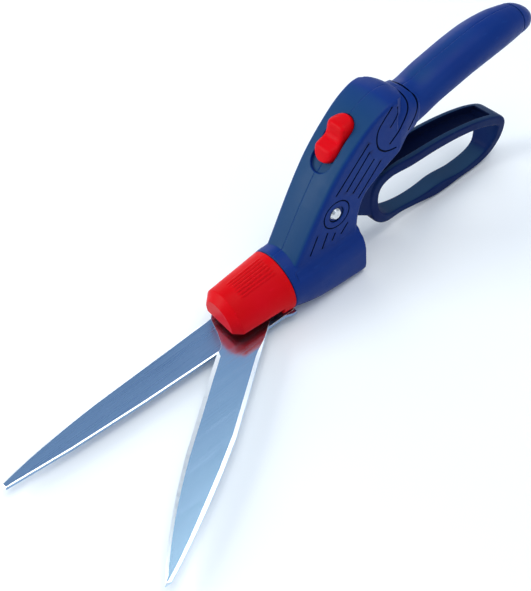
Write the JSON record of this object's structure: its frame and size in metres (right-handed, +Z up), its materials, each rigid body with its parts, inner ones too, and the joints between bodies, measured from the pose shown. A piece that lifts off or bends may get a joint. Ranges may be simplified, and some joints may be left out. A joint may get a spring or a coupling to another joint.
{
  "type": "grass shears",
  "caption": "One-hand grass shears: palm grip over a looped trigger lever, sliding lock button, and a hooded head that swivels about its axis with a fixed and a pivoting blade.",
  "frame": {"origin": "middle of the flat under the foot, below the swivel axis", "axes": "+X along the swivel axis towards the blade tips, +Y to the side the moving blade opens to, +Z up, away from the flat"},
  "size_m": [0.3288, 0.102, 0.0925],
  "materials": {
    "navy_plastic": "fine moulded texture, satin",
    "red_plastic": "smooth moulded, glossy",
    "dark_plastic": "moulded, matt",
    "blade_steel": "brushed lengthwise",
    "polished_steel": "bright, fine polish",
    "plated_steel": "bright plated",
    "spring_steel": "drawn wire, oiled",
    "bronze": "sintered, satin"
  },
  "bodies": {
    "handle": {"left_shell": "navy_plastic", "right_shell": "navy_plastic", "grip_end_cap": "navy_plastic", "shell_screw_1": "plated_steel", "shell_screw_2": "plated_steel", "shell_screw_3": "plated_steel", "shell_screw_4": "plated_steel", "shell_screw_5": "plated_steel", "lever_pivot_pin": "plated_steel", "front_bearing": "dark_plastic", "detent_ball": "plated_steel", "detent_spring": "spring_steel", "detent_holder": "dark_plastic"},
    "lever": {"trigger_lever": "navy_plastic", "lever_bushing": "bronze"},
    "lock": {"lock_button": "red_plastic", "lock_latch": "spring_steel", "lock_screw": "plated_steel"},
    "head": {"head_hood": "red_plastic", "thrust_washer": "dark_plastic", "swivel_tube": "plated_steel", "detent_ring": "dark_plastic", "retaining_clip": "spring_steel", "fixed_blade": "blade_steel", "pivot_bolt": "plated_steel", "pivot_washer": "plated_steel", "pivot_nut": "plated_steel", "hood_screw_1": "plated_steel", "hood_screw_2": "plated_steel", "return_spring": "spring_steel"},
    "blade": {"moving_blade": "polished_steel", "blade_bushing": "bronze"},
    "rod": {"push_rod": "plated_steel", "drive_pin": "plated_steel", "rod_collar": "spring_steel"}
  },
  "joints": [
    {"name": "head_swivel", "type": "hinge", "parent": "handle", "child": "head", "pos_m": [0.03, 0, 0.0162], "axis": [1, 0, 0], "range_deg": [-90, 90]},
    {"name": "trigger_squeeze", "type": "hinge", "parent": "handle", "child": "lever", "pos_m": [-0.0013, 0, 0.0475], "axis": [0, 1, 0], "range_deg": [0, 12.5], "stiffness_Nm_per_rad": 2.5, "springref_deg": -6.88},
    {"name": "blade_pivot", "type": "hinge", "parent": "head", "child": "blade", "pos_m": [0.0444, 0, 0.00815], "axis": [0, 0, 1], "range_deg": [-37, 0]},
    {"name": "rod_pull", "type": "slide", "parent": "head", "child": "rod", "axis": [-1, 0, 0], "range_m": [0, 0.00678], "deforming": ["return_spring"]},
    {"name": "lock_slide", "type": "slide", "parent": "handle", "child": "lock", "axis": [0.7431, 0, -0.6691], "range_m": [0, 0.005]}
  ],
  "couplings": [
    {"joint": "blade_pivot", "follows": "trigger_squeeze", "ratio": -2.959},
    {"joint": "rod_pull", "follows": "trigger_squeeze", "m_per_rad": 0.031}
  ]
}
